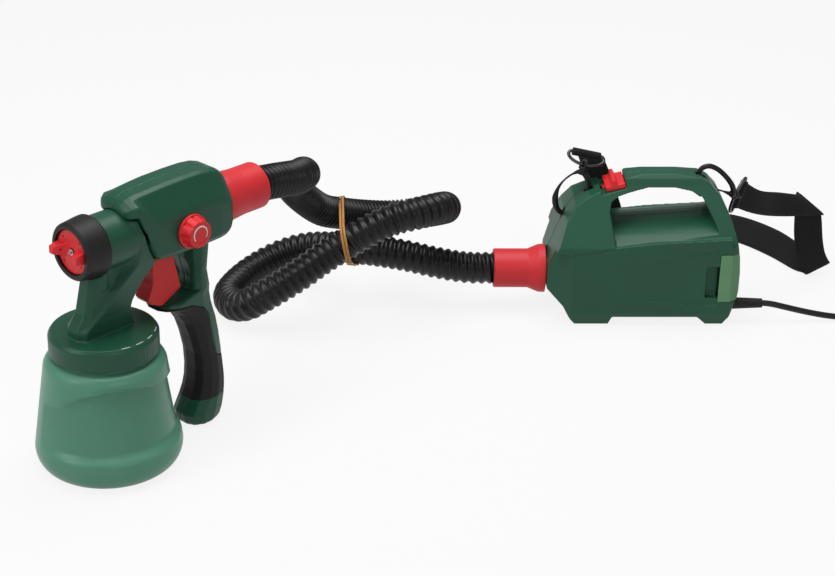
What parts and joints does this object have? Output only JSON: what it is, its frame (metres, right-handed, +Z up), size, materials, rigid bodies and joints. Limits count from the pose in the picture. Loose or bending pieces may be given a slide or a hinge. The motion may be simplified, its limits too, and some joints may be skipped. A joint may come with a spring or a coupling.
{
  "type": "turbine paint sprayer",
  "caption": "Portable turbine paint sprayer: spray gun standing on its paint jar, ribbed air hose held by a rubber band, turbine unit with carrying handle, shoulder strap and mains cord.",
  "frame": {"origin": "centre of the paint jar's base ring, on the floor", "axes": "+Z up; +X from the paint jar towards the turbine unit, along its length and its motor's shaft; +Y to the back, away from the side where the volume knob shows"},
  "size_m": [0.8992, 0.5667, 0.251],
  "materials": {
    "dark_green_plastic": "fine moulded texture",
    "red_plastic": "satin",
    "black_plastic": "satin",
    "black_rubber": "matt",
    "jar_plastic": "translucent, slightly frosted",
    "vent_green_plastic": "satin",
    "hose_plastic": "semi-gloss",
    "band_rubber": "matt",
    "steel": "turned",
    "brass": "turned",
    "ring_steel": "dark plating",
    "webbing": "woven polypropylene",
    "filter_foam": "open-cell foam",
    "lamination_steel": "stacked laminations",
    "winding_copper": "enamelled copper",
    "cord_pvc": "satin PVC",
    "plug_pvc": "moulded PVC"
  },
  "bodies": {
    "sprayer": {"spray_head": "dark_green_plastic", "suction_tube": "black_plastic", "vent_tube": "steel", "vent_valve": "black_rubber", "fluid_nozzle": "brass", "needle_seal": "black_rubber", "trigger_pin": "steel", "gun_shell_left": "dark_green_plastic", "gun_shell_right": "dark_green_plastic", "handle_grip": "black_rubber", "thumb_pad": "black_rubber", "gun_screws": "steel", "gun_air_inlet": "black_plastic", "air_hose": "hose_plastic", "hose_band": "band_rubber", "outlet_spigot": "black_plastic", "unit_shell_left": "dark_green_plastic", "unit_shell_right": "dark_green_plastic", "switch_body": "black_plastic", "air_filter": "filter_foam", "turbine_housing": "black_plastic", "motor_stator": "lamination_steel", "front_bearing": "steel", "rear_bearing": "steel", "front_bracket": "black_plastic", "rear_bracket": "black_plastic", "brush_holders": "brass", "unit_screws": "steel", "cord_gland": "black_rubber", "cord_clamp": "black_plastic", "mains_cord": "cord_pvc", "cord_coil": "cord_pvc", "cord_tail": "cord_pvc", "cord_tie": "black_plastic", "mains_plug": "plug_pvc", "shoulder_strap": "webbing", "front_strap_hook": "black_plastic", "front_strap_ring": "ring_steel", "rear_strap_hook": "black_plastic", "rear_strap_ring": "ring_steel", "strap_slider": "black_plastic"},
    "trigger": {"trigger": "red_plastic"},
    "needle": {"needle": "steel", "needle_spring": "steel"},
    "nut": {"union_nut": "black_plastic"},
    "cap": {"air_cap": "red_plastic"},
    "knob": {"volume_knob": "red_plastic", "knob_spindle": "brass"},
    "jar_thread": {"jar_gasket": "black_rubber"},
    "jar": {"jar": "jar_plastic"},
    "gun_collar": {"gun_hose_collar": "red_plastic"},
    "unit_collar": {"unit_hose_collar": "red_plastic"},
    "switch": {"power_switch": "red_plastic"},
    "cover": {"filter_cover": "vent_green_plastic"},
    "rotor": {"impeller": "steel", "motor_shaft": "steel", "motor_armature": "winding_copper"}
  },
  "joints": [
    {"name": "trigger_pull", "type": "hinge", "parent": "sprayer", "child": "trigger", "pos_m": [0.04101, 0.04101, 0.226], "axis": [0.7071, -0.7071, 0], "range_deg": [0, 6], "stiffness_Nm_per_rad": 3},
    {"name": "needle_stroke", "type": "slide", "parent": "sprayer", "child": "needle", "axis": [0.7071, 0.7071, 0], "range_m": [0, 0.0016]},
    {"name": "nut_turn", "type": "hinge", "parent": "sprayer", "child": "nut", "pos_m": [0, 0, 0.2105], "axis": [-0.7071, -0.7071, 0], "range_deg": [-180, 180]},
    {"name": "cap_turn", "type": "hinge", "parent": "sprayer", "child": "cap", "pos_m": [-0.01556, -0.01556, 0.2105], "axis": [-0.7071, -0.7071, 0], "range_deg": [-90, 90]},
    {"name": "knob_turn", "type": "hinge", "parent": "sprayer", "child": "knob", "pos_m": [0.07566, 0.03606, 0.2055], "axis": [0.7071, -0.7071, 0], "range_deg": [0, 270]},
    {"name": "jar_lift", "type": "slide", "parent": "sprayer", "child": "jar_thread", "axis": [0, 0, -1], "range_m": [0, 0.008]},
    {"name": "jar_turn", "type": "hinge", "parent": "jar_thread", "child": "jar", "pos_m": [0, 0, 0], "axis": [0, 0, 1], "range_deg": [0, 720]},
    {"name": "gun_collar_turn", "type": "hinge", "parent": "sprayer", "child": "gun_collar", "pos_m": [0.11314, 0.11314, 0.2105], "axis": [-0.7071, -0.7071, 0], "range_deg": [-90, 90]},
    {"name": "unit_collar_turn", "type": "hinge", "parent": "sprayer", "child": "unit_collar", "pos_m": [0.39, 0.31, 0.042], "axis": [1, 0, 0], "range_deg": [0, 45]},
    {"name": "switch_slide", "type": "slide", "parent": "sprayer", "child": "switch", "axis": [-0.9703, 0, -0.2419], "range_m": [0, 0.0045]},
    {"name": "cover_pull", "type": "slide", "parent": "sprayer", "child": "cover", "axis": [1, 0, 0], "range_m": [0, 0.025]},
    {"name": "rotor_spin", "type": "hinge", "parent": "sprayer", "child": "rotor", "pos_m": [0.5, 0.31, 0.052], "axis": [1, 0, 0], "continuous": true}
  ],
  "couplings": [
    {"joint": "needle_stroke", "follows": "trigger_pull", "m_per_rad": 0.0152},
    {"joint": "jar_lift", "follows": "jar_turn", "m_per_rad": 0.00063662}
  ]
}
